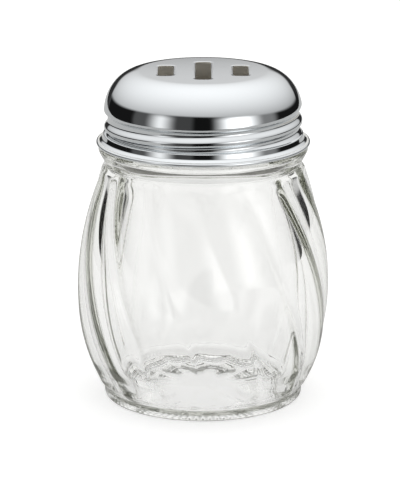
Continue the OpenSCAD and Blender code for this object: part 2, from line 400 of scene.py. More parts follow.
@dataclass
class Lathe:
    """Turns a profile about Z in a Geometry Nodes tree, and shapes it by a rule of angle and height."""

    name: str
    profile: Profile
    sectors: int
    sizes: dict[str, float]
    rule: Rule
    material: bpy.types.Material
    cutter: Cutter | None = None
    lining: Lining | None = None
    crease: float = math.radians(50)

    def _tree(self) -> bpy.types.NodeTree:
        """Builds the tree, with one named input for each size.

        Returns:
            The tree.
        """
        tree = bpy.data.node_groups.new(self.name, "GeometryNodeTree")
        tree.interface.new_socket("Profile", in_out="INPUT", socket_type="NodeSocketGeometry")
        tree.interface.new_socket("Sectors", in_out="INPUT", socket_type="NodeSocketInt")
        for label in self.sizes:
            tree.interface.new_socket(label, in_out="INPUT", socket_type="NodeSocketFloat")
        tree.interface.new_socket("Mesh", in_out="OUTPUT", socket_type="NodeSocketGeometry")
        graph = Graph(tree)
        source = graph.add("NodeGroupInput")
        profile = source.outputs["Profile"]
        sectors = Field(graph, source.outputs["Sectors"])
        size = {label: Field(graph, source.outputs[label]) for label in self.sizes}

        inputs = {"Geometry": profile}
        rows = graph.out("GeometryNodeAttributeDomainSize", "Point Count", inputs, component="MESH")
        columns = sectors + 1
        grid = graph.out("GeometryNodeMeshGrid", "Mesh", {"Vertices X": rows, "Vertices Y": columns})
        index = graph.out("GeometryNodeInputIndex")
        row = (index / columns + ROW_NUDGE).do("FLOOR")
        angle = (index - row * columns) / sectors * math.tau

        place = graph.add("GeometryNodeSampleIndex", data_type="FLOAT_VECTOR", domain="POINT")
        for name, value in (
            ("Geometry", profile),
            ("Value", graph.out("GeometryNodeInputPosition")),
            ("Index", row),
        ):
            graph.feed(graph.pick(place.inputs, name), value)
        parts = graph.add("ShaderNodeSeparateXYZ", {0: place.outputs[0]})
        marks = sorted(set(self.profile.marks), key=lambda m: m.value)
        mark = {m: self._mark(graph, profile, row, m) for m in marks}
        spot = Spot(angle, Field(graph, parts.outputs[0]), Field(graph, parts.outputs[2]), size, mark)
        r, z = self.rule(graph, spot)

        where = graph.out(
            "ShaderNodeCombineXYZ",
            0,
            {0: r * angle.do("COSINE") * MM, 1: r * angle.do("SINE") * MM, 2: z * MM},
        )
        mesh = graph.out("GeometryNodeSetPosition", 0, {"Geometry": grid, "Position": where})
        mesh = graph.out("GeometryNodeMergeByDistance", 0, {"Geometry": mesh, "Distance": MERGE_M})
        if self.cutter:
            cut = graph.add("GeometryNodeMeshBoolean", operation="DIFFERENCE", solver="MANIFOLD")
            graph.feed(cut.inputs["Mesh 1"], mesh)
            for tool in self.cutter(graph, size):
                graph.feed(cut.inputs["Mesh 2"], tool)
            mesh = Field(graph, cut.outputs["Mesh"])
        inputs = {"Geometry": mesh, "Shade Smooth": True}
        mesh = graph.out("GeometryNodeSetShadeSmooth", 0, inputs, domain="FACE")
        bend = graph.out("GeometryNodeInputMeshEdgeAngle", "Unsigned Angle")
        sharp = bend.do("GREATER_THAN", self.crease)
        inputs = {"Geometry": mesh, "Selection": sharp, "Shade Smooth": False}
        mesh = graph.out("GeometryNodeSetShadeSmooth", 0, inputs, domain="EDGE")
        mesh = graph.out("GeometryNodeRealizeInstances", 0, {"Geometry": mesh})
        mesh = graph.out("GeometryNodeSetMaterial", 0, {"Geometry": mesh, "Material": self.material})
        if self.lining:
            covered = self.lining.towards(graph)
            inputs = {"Geometry": mesh, "Selection": covered, "Material": self.lining.material}
            mesh = graph.out("GeometryNodeSetMaterial", 0, inputs)
        graph.add("NodeGroupOutput", {"Mesh": mesh})
        return tree

    @staticmethod
    def _mark(graph: Graph, profile: bpy.types.NodeSocket, row: Field, mark: Mark) -> Field:
        """Reads a mark of the profile point that a row stands on.

        Args:
            graph: The tree.
            profile: The profile's geometry.
            row: The row's number.
            mark: The mark.

        Returns:
            1 where the mark holds, otherwise 0.
        """
        sample = graph.add("GeometryNodeSampleIndex", data_type="FLOAT", domain="POINT")
        inputs = {"Name": mark.value}
        named = graph.out("GeometryNodeInputNamedAttribute", "Attribute", inputs, data_type="FLOAT")
        for name, value in (("Geometry", profile), ("Value", named), ("Index", row)):
            graph.feed(graph.pick(sample.inputs, name), value)
        return Field(graph, sample.outputs[0])

    def build(self) -> bpy.types.Object:
        """Makes the mesh.

        Returns:
            The object, at the origin, with no modifier left on it.
        """
        mesh = bpy.data.meshes.new(self.name + "_profile")
        last = len(self.profile.points) - 1
        edges = [(i, i + 1) for i in range(last)]
        mesh.from_pydata([(r, 0, z) for r, z in self.profile.points], edges, [])
        for mark in set(self.profile.marks):
            values = [float(m is mark) for m in self.profile.marks]
            mesh.attributes.new(mark.value, "FLOAT", "POINT").data.foreach_set("value", values)
        piece = bpy.data.objects.new(self.name, mesh)
        bpy.context.scene.collection.objects.link(piece)
        modifier = piece.modifiers.new(self.name, "NODES")
        tree = self._tree()
        modifier.node_group = tree
        for item in tree.interface.items_tree:
            if item.in_out == "INPUT" and item.name == "Sectors":
                modifier[item.identifier] = self.sectors
            elif item.in_out == "INPUT" and item.name in self.sizes:
                modifier[item.identifier] = float(self.sizes[item.name])
        evaluated = piece.evaluated_get(bpy.context.evaluated_depsgraph_get())
        made = bpy.data.meshes.new_from_object(evaluated)
        piece.modifiers.remove(modifier)
        piece.data = made
        made.name = self.name
        bpy.data.meshes.remove(mesh)
        LOG.info("%s: %d vertices, %d faces", self.name, len(made.vertices), len(made.polygons))
        return piece


@dataclass(frozen=True)
class PressedGlass:
    """Soda-lime glass pressed in an iron mould and fire polished.

    The polish gives the eye clear, wet-looking edges. The mould leaves a slow waviness that bends what is
    seen through the wall, and the iron in the glass tints its thick places grey green.
    """

    body: str = "#FEFEFE"
    tint: str = "#C6C8BA"
    density: float = 14.0
    ior: float = 1.52
    wave_mm: float = 9.0
    wave_height_mm: float = 0.012
    polish_mm: float = 2.5
    polish_low: float = 0.55
    polish_high: float = 0.9
    polish_rough: float = 0.03

    def material(self) -> bpy.types.Material:
        """Builds the material.

        Returns:
            The material.
        """
        material = bpy.data.materials.new("soda_lime_glass_pressed_fire_polished")
        graph = Graph.fresh(material)
        place = graph.out("ShaderNodeTexCoord", "Object")
        inputs = {"Vector": place, "Scale": 1 / (self.wave_mm * MM), "Detail": 1.0}
        wave = graph.out("ShaderNodeTexNoise", 0, inputs)
        bump = graph.out("ShaderNodeBump", "Normal", {"Height": wave, "Distance": self.wave_height_mm * MM})
        inputs = {"Vector": place, "Scale": 1 / (self.polish_mm * MM), "Detail": 2.0}
        gloss = graph.out("ShaderNodeTexNoise", 0, inputs)
        polish = graph.ramp(gloss, self.polish_low, self.polish_high) * self.polish_rough
        shader = graph.out(
            "ShaderNodeBsdfPrincipled",
            0,
            {
                "Base Color": linear(self.body),
                "Roughness": polish,
                "IOR": self.ior,
                "Transmission Weight": 1.0,
                "Normal": bump,
            },
        )
        inputs = {"Color": linear(self.tint), "Density": self.density}
        volume = graph.out("ShaderNodeVolumeAbsorption", 0, inputs)
        graph.add("ShaderNodeOutputMaterial", {"Surface": shader, "Volume": volume})
        return material


@dataclass(frozen=True)
class ChromePlate:
    """Bright chromium over nickel on drawn steel sheet.

    The plate gives the eye a hard mirror with a cool cast. Polishing leaves a haze that comes and goes, and
    the sheet under it is not quite flat.
    """

    colour: str = "#DEE1E3"
    haze_mm: float = 6.0
    haze_low: float = 0.35
    haze_high: float = 0.75
    rough_low: float = 0.025
    rough_high: float = 0.06
    ripple_mm: float = 5.0
    ripple_height_mm: float = 0.0015

    def material(self) -> bpy.types.Material:
        """Builds the material.

        Returns:
            The material.
        """
        material = bpy.data.materials.new("chromium_plated_drawn_steel")
        graph = Graph.fresh(material)
        place = graph.out("ShaderNodeTexCoord", "Object")
        inputs = {"Vector": place, "Scale": 1 / (self.haze_mm * MM), "Detail": 4.0}
        haze = graph.ramp(graph.out("ShaderNodeTexNoise", 0, inputs), self.haze_low, self.haze_high)
        rough = haze * (self.rough_high - self.rough_low) + self.rough_low
        inputs = {"Vector": place, "Scale": 1 / (self.ripple_mm * MM), "Detail": 0.0}
        ripple = graph.out("ShaderNodeTexNoise", 0, inputs)
        inputs = {"Height": ripple, "Distance": self.ripple_height_mm * MM}
        bump = graph.out("ShaderNodeBump", "Normal", inputs)
        shader = graph.out(
            "ShaderNodeBsdfPrincipled",
            0,
            {"Base Color": linear(self.colour), "Metallic": 1.0, "Roughness": rough, "Normal": bump},
        )
        graph.add("ShaderNodeOutputMaterial", {"Surface": shader})
        return material


@dataclass(frozen=True)
class FlashPlate:
    """A thin flash of nickel on the unpolished inside of the sheet.

    With no polish under it the plate gives the eye an even, dull grey brown, with faint clouds from the bath.
    The skirt's inside is painted paler than the dome's: painted light standing in for the light that reaches
    it through the glass.
    """

    skirt_z: float
    colour: str = "#D2CDC3"
    cloud: str = "#C8C3B9"
    # Painted light: the paler colour of the skirt's inside, for light that reaches it through the glass.
    skirt: str = "#F4F3EE"
    cloud_mm: float = 7.0
    painted_light_blend: float = 1.0
    roughness: float = 0.7

    def material(self) -> bpy.types.Material:
        """Builds the material.

        Returns:
            The material.
        """
        material = bpy.data.materials.new("nickel_flash_on_unpolished_steel")
        graph = Graph.fresh(material)
        place = graph.out("ShaderNodeTexCoord", "Object")
        cloud = graph.out("ShaderNodeTexNoise", 0, {"Vector": place, "Scale": 1 / (self.cloud_mm * MM)})
        mix = graph.add("ShaderNodeMix", data_type="RGBA")
        for name, value in (("Factor", cloud), ("A", linear(self.colour)), ("B", linear(self.cloud))):
            graph.feed(graph.pick(mix.inputs, name), value)
        # Painted light: below skirt_z the inside takes the paler skirt colour, above it the dome's own
        # colour.
        height = graph.out("ShaderNodeSeparateXYZ", "Z", {0: place})
        low, high = (self.skirt_z - self.painted_light_blend) * MM, (self.skirt_z + self.painted_light_blend) * MM
        share = graph.ramp(height, low, high)
        dome = graph.pick(mix.outputs, "Result")
        tone = graph.add("ShaderNodeMix", data_type="RGBA")
        for name, value in (("Factor", share), ("A", linear(self.skirt)), ("B", dome)):
            graph.feed(graph.pick(tone.inputs, name), value)
        inputs = {"Base Color": graph.pick(tone.outputs, "Result"), "Roughness": self.roughness}
        shader = graph.out("ShaderNodeBsdfPrincipled", 0, inputs)
        graph.add("ShaderNodeOutputMaterial", {"Surface": shader})
        return material


@dataclass(frozen=True)
class MouldedPlastic:
    """White polyethylene, injection moulded.

    The mould's spark-eroded face gives the eye a satin surface with a fine grain, and the plastic lets a
    little light in, so its edges look soft.
    """

    colour: str = "#EFEEE8"
    roughness: float = 0.45
    grain_mm: float = 0.35
    grain_height_mm: float = 0.01
    glow: float = 0.15
    glow_mm: float = 1.0

    def material(self) -> bpy.types.Material:
        """Builds the material.

        Returns:
            The material.
        """
        material = bpy.data.materials.new("polyethylene_injection_moulded")
        graph = Graph.fresh(material)
        place = graph.out("ShaderNodeTexCoord", "Object")
        grain = graph.out("ShaderNodeTexNoise", 0, {"Vector": place, "Scale": 1 / (self.grain_mm * MM)})
        bump = graph.out("ShaderNodeBump", "Normal", {"Height": grain, "Distance": self.grain_height_mm * MM})
        shader = graph.out(
            "ShaderNodeBsdfPrincipled",
            0,
            {
                "Base Color": linear(self.colour),
                "Roughness": self.roughness,
                "Subsurface Weight": self.glow,
                "Subsurface Scale": self.glow_mm * MM,
                "Normal": bump,
            },
        )
        graph.add("ShaderNodeOutputMaterial", {"Surface": shader})
        return material


@dataclass(frozen=True)
class Thread:
    """The screw thread that the jar and the lid share. Angles are degrees from +X, heights the crest's."""

    pitch: float = 4.23
    depth: float = 1.1
    crest: float = 0.8
    flank: float = 0.6
    glass_turn: float = 320.0
    glass_end: float = 38.0
    lid_end: float = 63.0
    lid_end_z: float = 85.705
    taper: float = 36.0

    def wrapped(self, angle: Field, end: float) -> Field:
        """Brings an angle into the last turn before an end.

        Args:
            angle: The angle, from 0 to a full turn, in radians.
            end: The end of the thread, in degrees.

        Returns:
            The same direction as an angle up to the end.
        """
        return angle - angle.do("GREATER_THAN", math.radians(end)) * math.tau

    def height(self, turned: Field, pitch: Field) -> Field:
        """Height of the crest.

        Args:
            turned: The angle in radians, not wrapped.
            pitch: The rise in one turn.

        Returns:
            The height.
        """
        return (turned - math.radians(self.lid_end)) / math.tau * pitch + self.lid_end_z


@dataclass
class GlassJar:
    """The jar: foot, fluted barrel body, waist, collar and threaded neck, all one piece of glass."""

    name: str = "glass_jar_pressed"
    belly_r: float = 37.99
    belly_z: float = 33.0
    heel_r: float = 31.4
    heel_z: float = 4.5
    shoulder_r: float = 30.0
    shoulder_z: float = 71.6
    low_power: float = 2.4
    high_power: float = 2.0
    wall: float = 4.8
    wall_top: float = 6.0
    floor_z: float = 2.0
    floor_rise: float = 0.8
    floor_corner: float = 6.5
    corner_up: float = 1.6
    corner_in: float = 1.5
    floor_lobe: float = 1.0
    petal_in: float = 0.35
    petal_out: float = 0.85
    throat_drop: float = 0.5
    throat_h: float = 1.0
    thread_drop: float = 2.0
    thread_row: float = 0.33
    thread_rows: int = 24
    flute_count: int = 12
    flute_depth: float = 0.9
    echo_depth: float = 1.0
    echo_rise: float = 6.0
    echo_in: float = 1 / 3
    flute_turn: float = 42.0
    flute_phase: float = 3.0
    fade_low: float = 5.0
    fade_high: float = 6.0
    valley_soft: float = 0.12
    foot_r: float = 30.0
    foot_round: float = 0.7
    heel_round: float = 0.3
    heel_crease: float = 0.25
    cove_h: float = 1.0
    cove_reach: float = 0.2
    stipple_depth: float = 0.12
    stipple_low: float = 0.9
    stipple_high: float = 3.4
    stand_r: float = 20.0
    stand_lap: float = 1.0
    push_up: float = 1.0
    shoulder_drop: float = 1.2
    waist_r: float = 29.3
    waist_h: float = 0.7
    waist_low: float = 0.1
    waist_round: float = 0.9
    collar_r: float = 31.3
    collar_z: float = 77.0
    collar_band: float = 0.1
    collar_round: float = 0.8
    collar_under: float = 1.2
    root_h: float = 0.7
    root_round: float = 0.6
    bore_r: float = 24.2
    neck_r: float = 27.7
    lip_z: float = 88.0
    lip_round: float = 0.875
    knurl_count: int = 84
    knurl_rows: int = 3
    knurl_depth: float = 0.4
    knurl_in_r: float = 22.0
    knurl_out_r: float = 27.3
    knurl_fade: float = 0.8
    knurl_ridge: float = 0.4
    floor_rows: int = 12
    wall_rows: int = 36
    throat_rows: int = 12
    body_rows: int = 64
    knurl_steps: int = 18
    hollow_rows: int = 14
    pole_ring: float = 0.2
    floor_step: float = 0.7
    lip_step: float = 1.6
    edge_step: float = 0.4
    sectors: int = 336
    thread: Thread = field(default_factory=Thread)

    def body_r(self, z: float) -> float:
        """Radius of the body over its flute crests.

        Args:
            z: Height.

        Returns:
            The radius.
        """
        if z < self.belly_z:
            share = (self.belly_z - z) / (self.belly_z - self.heel_z)
            return self.belly_r - (self.belly_r - self.heel_r) * share**self.low_power
        share = (z - self.belly_z) / (self.shoulder_z - self.belly_z)
        return self.belly_r - (self.belly_r - self.shoulder_r) * share**self.high_power

    def inner_r(self, z: float) -> float:
        """Radius of the inside. The wall is even up to the belly and thickens towards the shoulder.

        Args:
            z: Height.

        Returns:
            The radius.
        """
        share = max(0.0, z - self.belly_z) / (self.shoulder_z - self.throat_drop - self.belly_z)
        return self.body_r(z) - self.wall + (self.wall - self.wall_top) * share**2

    def profile(self) -> Profile:
        """Draws the section from the inside floor over the lip and down to the hollow under the base.

        Returns:
            The profile.
        """
        profile = Profile()
        throat_z = self.shoulder_z - self.throat_drop
        throat_r = self.inner_r(throat_z)
        start = self.floor_z + self.corner_up * self.floor_corner
        corner = (self.inner_r(self.floor_z), self.floor_z, self.floor_corner)
        flat, count = corner[0] - self.corner_in * self.floor_corner, self.floor_rows
        for i in (0, self.pole_ring, *range(1, count)):
            height = self.floor_z + self.floor_rise * (1 - (i / count) ** 2)
            profile.run([(flat * i / count, height)], Mark.ECHOED)
        floor = [(flat, self.floor_z, 0), corner, (self.inner_r(start), start, 0)]
        profile.run(Profile.rounded(floor, self.floor_step), Mark.ECHOED)
        count = self.wall_rows
        heights = [start + (throat_z - start) * i / count for i in range(count + 1)]
        profile.run(((self.inner_r(z), z) for z in heights), Mark.ECHOED)
        lean = (throat_r - self.inner_r(throat_z - NEAR_MM)) / NEAR_MM * self.throat_h
        for i in range(1, self.throat_rows + 1):
            t = i / self.throat_rows
            bend = (1 - t) ** 2 * (throat_r * (1 + 2 * t) + lean * t)
            profile.run([(bend + self.bore_r * t * t * (3 - 2 * t), throat_z + self.throat_h * t)])
        top = self.lip_z - self.thread_drop
        lip = [
            (self.bore_r, throat_z + self.throat_h, 0),
            (self.bore_r, self.lip_z, self.lip_round),
            (self.neck_r, self.lip_z, self.lip_round),
            (self.neck_r, top, 0),
        ]
        profile.run(Profile.rounded(lip, self.lip_step))
        heights = [top - self.thread_row * i for i in range(1, self.thread_rows + 1)]
        profile.run(((self.neck_r, z) for z in heights), Mark.THREADED)
        shoulder = self.shoulder_z - self.shoulder_drop
        under = self.collar_z - self.collar_round - self.collar_band
        neck = [
            (self.neck_r, self.collar_z + self.root_h, 0),
            (self.neck_r, self.collar_z, self.root_round),
            (self.collar_r, self.collar_z, self.collar_round),
            (self.collar_r, under, self.collar_under),
            (self.waist_r, self.shoulder_z + self.waist_h, self.waist_round),
            (self.waist_r, self.shoulder_z + self.waist_low, self.waist_round),
            (self.body_r(shoulder), shoulder, 0),
        ]
        profile.run(Profile.rounded(neck, self.edge_step))
        low, count = self.heel_z + self.heel_round, self.body_rows
        heights = [shoulder + (low - shoulder) * i / count for i in range(1, count + 1)]
        profile.run(((self.body_r(z), z) for z in heights), Mark.FLUTED)
        heel = [
            (self.body_r(low), low, 0),
            (self.heel_r - self.heel_crease, self.heel_z, self.heel_round),
            (self.foot_r + self.cove_reach, self.heel_z - self.cove_h, self.cove_h),
            (self.foot_r, 0, self.foot_round),
            (self.knurl_out_r, 0, 0),
        ]
        profile.run(Profile.rounded(heel, self.edge_step), Mark.STIPPLED)
        span, count = self.knurl_out_r - self.knurl_in_r, self.knurl_steps
        knurled = [self.knurl_out_r - span * i / count for i in range(1, count + 1)]
        profile.run(((r, 0.0) for r in knurled), Mark.KNURLED)
        profile.run([(self.stand_r + self.stand_lap, 0.0)])
        ball = (self.stand_r**2 + self.push_up**2) / (2 * self.push_up)
        count = self.hollow_rows
        for i in (*range(count), count - self.pole_ring, count):
            r = self.stand_r * (1 - i / count)
            profile.run([(r, self.push_up - ball + math.sqrt(ball**2 - r**2))])
        return profile

    def sizes(self) -> dict[str, float]:
        """Named inputs of the jar's tree.

        Returns:
            Each input's label and value.
        """
        return {
            "Flute count": self.flute_count,
            "Flute depth mm": self.flute_depth,
            "Echo depth mm": self.echo_depth,
            "Floor lobe mm": self.floor_lobe,
            "Flute turn deg": self.flute_turn,
            "Flute fade low mm": self.fade_low,
            "Flute fade high mm": self.fade_high,
            "Thread pitch mm": self.thread.pitch,
            "Thread depth mm": self.thread.depth,
            "Knurl count": self.knurl_count,
            "Knurl depth mm": self.knurl_depth,
            "Stipple depth mm": self.stipple_depth,
        }

    def rule(self, graph: Graph, spot: Spot) -> tuple[Field, Field]:
        """Cuts the flutes, raises the thread, knurls the standing ring and stipples the foot.

        Args:
            graph: The tree.
            spot: The place.

        Returns:
            Its radius and height.
        """
        size, mark = spot.size, spot.mark
        fade = graph.ramp(spot.z, self.heel_z, size["Flute fade low mm"] + self.heel_z)
        fade = fade * graph.ramp(self.shoulder_z - spot.z, 0.0, size["Flute fade high mm"])
        slant = -math.pi / 180 / (self.shoulder_z - self.heel_z)
        swirl = size["Flute turn deg"] * (spot.z - self.belly_z) * slant
        wave = ((spot.angle - swirl - math.radians(self.flute_phase)) * size["Flute count"] / 2).do("COSINE")
        top = math.sqrt(1 + self.valley_soft**2)
        valley = (top - (wave * wave + self.valley_soft**2).do("SQRT")) / (top - self.valley_soft)
        r = spot.r - mark[Mark.FLUTED] * fade * valley * size["Flute depth mm"]
        rim_r, throat_z = self.inner_r(self.floor_z), self.shoulder_z - self.throat_drop
        inside = graph.ramp(spot.r, rim_r * self.echo_in, rim_r)
        inside = inside * graph.ramp(throat_z - spot.z, 0.0, size["Flute fade high mm"])
        inside = inside * graph.ramp(spot.z, self.floor_z, self.floor_z + self.echo_rise)
        r = r - mark[Mark.ECHOED] * inside * valley * size["Echo depth mm"]

        thread = self.thread
        turned = thread.wrapped(spot.angle, thread.glass_end)
        start = math.radians(thread.glass_end - thread.glass_turn)
        inside = (turned - start).do("MINIMUM", math.radians(thread.glass_end) - turned)
        share = graph.ramp(inside, 0.0, math.radians(thread.taper))
        away = abs(spot.z - thread.height(turned, size["Thread pitch mm"])) - thread.crest / 2
        rise = share * (1.0 - graph.ramp(away, 0.0, thread.flank)) * size["Thread depth mm"]
        r = r + mark[Mark.THREADED] * rise

        tooth = (spot.angle * size["Knurl count"]).do("COSINE") * 0.5 + 0.5
        turns = math.tau * self.knurl_rows / (self.knurl_out_r - self.knurl_in_r)
        rows = (spot.r - self.knurl_in_r) * turns
        half = (self.stipple_high - self.stipple_low) / 2
        dimple = (1.0 - abs(spot.z - (self.stipple_low + half)) / half).do("MAXIMUM", 0.0)
        r = r - mark[Mark.STIPPLED] * tooth * dimple * size["Stipple depth mm"]
        tooth = tooth * (1 - self.knurl_ridge) + self.knurl_ridge
        tooth = tooth * (0.5 - rows.do("COSINE") * 0.5)
        across = graph.ramp(spot.r, self.knurl_in_r, self.knurl_in_r + self.knurl_fade)
        across = across * graph.ramp(self.knurl_out_r - spot.r, 0.0, self.knurl_fade)
        z = spot.z + mark[Mark.KNURLED] * tooth * across * size["Knurl depth mm"]
        petal = graph.ramp(spot.r, rim_r * self.petal_in, rim_r * self.petal_out)
        petal = petal * (1.0 - graph.ramp(spot.z, self.floor_z, self.floor_z + self.floor_corner))
        z = z + mark[Mark.ECHOED] * petal * valley * size["Floor lobe mm"]
        return r, z

    def build(self) -> bpy.types.Object:
        """Builds the jar and sets it on its body.

        Returns:
            The jar.
        """
        glass = PressedGlass().material()
        piece = Lathe(self.name, self.profile(), self.sectors, self.sizes(), self.rule, glass).build()
        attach(piece, Body.JAR.value)
        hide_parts("glass_jar")
        return piece


@dataclass
class ScrewLid:
    """The lid: slotted crown, dome, rolled thread band, skirt and curled rim, all one sheet."""

    name: str = "screw_lid_spun"
    sheet: float = 0.4
    crown_z: float = 99.78
    crown_r: float = 18.9
    crown_sag: float = 0.06
    dome_r: float = 29.6
    dome_side_z: float = 87.4
    band_top_z: float = 86.4
    band_r: float = 28.45
    band_z: float = 81.6
    step_h: float = 0.5
    skirt_r: float = 29.8
    skirt_slope: float = 0.3
    skirt_z: float = 79.7
    skirt_turn: float = 0.3
    flare_out: float = 0.03
    flare_drop: float = 0.1
    flare_round: float = 0.7
    ledge_in: float = 0.35
    ledge_drop: float = 0.07
    ledge_round: float = 0.25
    rim_r: float = 31.95
    curl_r: float = 0.6
    curl_z: float = 78.35
    curl_turn: float = 270.0
    thread_gap: float = 0.35
    wave_crest: float = 0.3
    wave_above: float = 2.3
    wave_below: float = 1.6
    notch_z: float = 86.4
    notch_h: float = 1.75
    notch_gap: float = 0.2
    notch_lift: float = 0.9
    notch_spread: float = 1.1
    roll_soft: float = 0.2
    liner_r: float = 28.5
    liner_z: float = 90.5
    seat_low: float = 0.7
    seat_high: float = 1.1
    slot_w: float = 4.75
    slot_long: float = 25.2
    slot_short: float = 14.6
    slot_pitch: float = 11.1
    slot_corner: float = 1.25
    roll_depth: float = 0.12
    roll_width: float = 0.5
    punch_below: float = 4.0
    punch_above: float = 3.0
    corner_steps: int = 6
    crown_rows: int = 62
    bend_rows: int = 60
    side_rows: int = 20
    domed_rows: int = 36
    rolled_rows: int = 70
    curl_rows: int = 24
    lined_rows: int = 40
    pole_r: float = 0.3
    edge_step: float = 0.12
    inner_rows: tuple[int, int, int] = (20, 24, 1)
    sectors: int = 240
    thread: Thread = field(default_factory=Thread)

    def wall_r(self, z: float) -> float:
        """Outer radius of the plain wall from the skirt up to the thread band.

        Args:
            z: Height.

        Returns:
            The radius.
        """
        step_z = self.band_z - self.step_h
        if z > step_z:
            return self.skirt_r + (self.band_r - self.skirt_r) * ease((z - step_z) / self.step_h)
        return self.skirt_r + self.skirt_slope * min(1.0, (step_z - z) / (step_z - self.skirt_z))

    def dome_line(self, inset: float, crown: int, bend: int, side: int) -> list[Point]:
        """Line of the sheet from the middle of the crown to the thread band.

        Args:
            inset: How far the line lies inside the outer face.
            crown: Number of steps on the crown.
            bend: Number of steps round the shoulder.
            side: Number of steps from the shoulder to the thread band.

        Returns:
            The points.
        """
        flat, top = self.crown_r, self.crown_z - inset
        across = self.dome_r - inset - flat
        up = top - self.crown_sag - self.dome_side_z
        points = [(flat * i / crown, top - self.crown_sag * (i / crown) ** 2) for i in range(crown)]
        points.insert(1, (self.pole_r, top))
        for i in range(bend + 1):
            t = math.pi / 2 * (1 - i / bend)
            points.append((flat + across * math.cos(t), self.dome_side_z + up * math.sin(t)))
        drop = self.dome_side_z - self.band_top_z
        points += [(self.dome_r - inset, self.dome_side_z - drop * i / side) for i in range(1, side + 1)]
        return points

    def profile(self) -> Profile:
        """Draws the section of the sheet from the crown down the outside, round the curl and up the inside.

        Returns:
            The profile.
        """
        profile = Profile()
        outer = self.dome_line(0, self.crown_rows, self.bend_rows, self.side_rows)
        # The crown's points, the ring round its pole and the first point of the bend.
        crown, domed = self.crown_rows + 2, self.domed_rows
        profile.run(outer[:crown], Mark.CROWN)
        profile.run(outer[crown:-domed])
        profile.run(outer[-domed:], Mark.DOMED)
        low, count = self.skirt_z + self.skirt_turn, self.rolled_rows
        span = self.band_top_z - low
        heights = [self.band_top_z - span * i / count for i in range(1, count + 1)]
        profile.run(((self.wall_r(z), z) for z in heights), Mark.ROLLED)
        curl, curl_top = self.rim_r - self.curl_r, self.curl_z + self.curl_r
        flare = self.wall_r(self.skirt_z) + self.flare_out
        foot = [
            (self.wall_r(low), low, 0),
            (flare, self.skirt_z - self.flare_drop, self.flare_round),
            (curl - self.ledge_in, curl_top - self.ledge_drop, self.ledge_round),
            (curl, curl_top, 0),
        ]
        profile.run(Profile.rounded(foot, self.edge_step)[:-1])
        for i in range(self.curl_rows + 1):
            t = math.radians(90 - self.curl_turn * i / self.curl_rows)
            profile.run([(curl + self.curl_r * math.cos(t), self.curl_z + self.curl_r * math.sin(t))])
        low, count = self.skirt_z, self.lined_rows
        span = self.band_top_z - low
        heights = [low + span * i / count for i in range(count + 1)]
        profile.run(((self.wall_r(z + self.sheet) - self.sheet, z) for z in heights), Mark.LINED)
        inner = [p for p in self.dome_line(self.sheet, *self.inner_rows) if p[1] > self.liner_z]
        seat = self.liner_r
        profile.run([(seat, self.band_top_z + self.seat_low), (seat, self.liner_z - self.seat_high)])
        profile.run(reversed(inner))
        return profile

    def sizes(self) -> dict[str, float]:
        """Named inputs of the lid's tree.

        Returns:
            Each input's label and value.
        """
        return {
            "Thread pitch mm": self.thread.pitch,
            "Thread depth mm": self.thread.depth,
            "Slot width mm": self.slot_w,
            "Slot corner mm": self.slot_corner,
            "Slot pitch mm": self.slot_pitch,
            "Middle slot mm": self.slot_long,
            "Side slot mm": self.slot_short,
            "Roll over mm": self.roll_depth,
        }

    def bead(self, graph: Graph, spot: Spot, crest: float, above_h: float, below_h: float) -> Field:
        """Height of the rolled thread above its band.

        Args:
            graph: The tree.
            spot: The place.
            crest: Half the width of the crest.
            above_h: Where the upper flank ends, above the middle of the crest.
            below_h: Where the lower flank ends, below the middle of the crest.

        Returns:
            The height.
        """
        thread, pitch = self.thread, spot.size["Thread pitch mm"]
        turned = thread.wrapped(spot.angle, thread.lid_end)
        above = spot.z - thread.height(turned, pitch)
        shares = []
        for turn in (0, -1, -2):
            away = above - pitch * turn
            shares.append(1.0 - graph.ramp(away, crest, above_h) - graph.ramp(away * -1.0, crest, below_h))
        top = shares[0] * self.run_out(graph, turned)
        return top.do("MAXIMUM", shares[1]).do("MAXIMUM", shares[2]) * spot.size["Thread depth mm"]

    def run_out(self, graph: Graph, turned: Field) -> Field:
        """Share of the thread's depth that is left near its upper end.

        Args:
            graph: The tree.
            turned: The angle in radians, wrapped to the lid's thread.

        Returns:
            1 along the thread, falling to 0 at its end.
        """
        return graph.ramp(math.radians(self.thread.lid_end) - turned, 0.0, math.radians(self.thread.taper))

    def notch(self, graph: Graph, spot: Spot) -> Field:
        """Depth of the notch under the dome, which follows the thread up, so the dome's edge rises with it.

        Args:
            graph: The tree.
            spot: The place.

        Returns:
            How far the wall lies inside the dome's side.
        """
        thread = self.thread
        turned = thread.wrapped(spot.angle, thread.lid_end)
        groove = thread.height(turned, spot.size["Thread pitch mm"]) + (self.wave_above + self.notch_gap)
        lift = ((groove - self.notch_z) / self.notch_lift).do("MAXIMUM", 0.0).do("MINIMUM", 1.0)
        lift = lift * self.run_out(graph, turned)
        low = lift * self.notch_lift + self.notch_z
        high = low + lift * lift * self.notch_spread + self.notch_h
        return (1.0 - graph.ramp(spot.z, low, high)) * (self.dome_r - self.band_r)

    def rule(self, graph: Graph, spot: Spot) -> tuple[Field, Field]:
        """Rolls the thread into the wall and draws the crown down round each punched slot.

        Args:
            graph: The tree.
            spot: The place.

        Returns:
            Its radius and height.
        """
        size, mark = spot.size, spot.mark
        gap, sheet = self.thread_gap, self.sheet
        crest = (self.thread.crest + gap) / 2
        flank = crest + self.thread.flank
        wave = self.bead(graph, spot, self.wave_crest, self.wave_above, self.wave_below) + self.band_r
        outer = wave.do("SMOOTH_MAX", spot.r, self.roll_soft)
        domed = wave.do("SMOOTH_MAX", spot.r - self.notch(graph, spot), self.roll_soft)
        inner = self.bead(graph, spot, crest, flank, flank) + (self.band_r - sheet)
        inner = inner.do("MAXIMUM", spot.r)
        r = spot.r + mark[Mark.ROLLED] * (outer - spot.r) + mark[Mark.LINED] * (inner - spot.r)
        r = r + mark[Mark.DOMED] * (domed - spot.r)

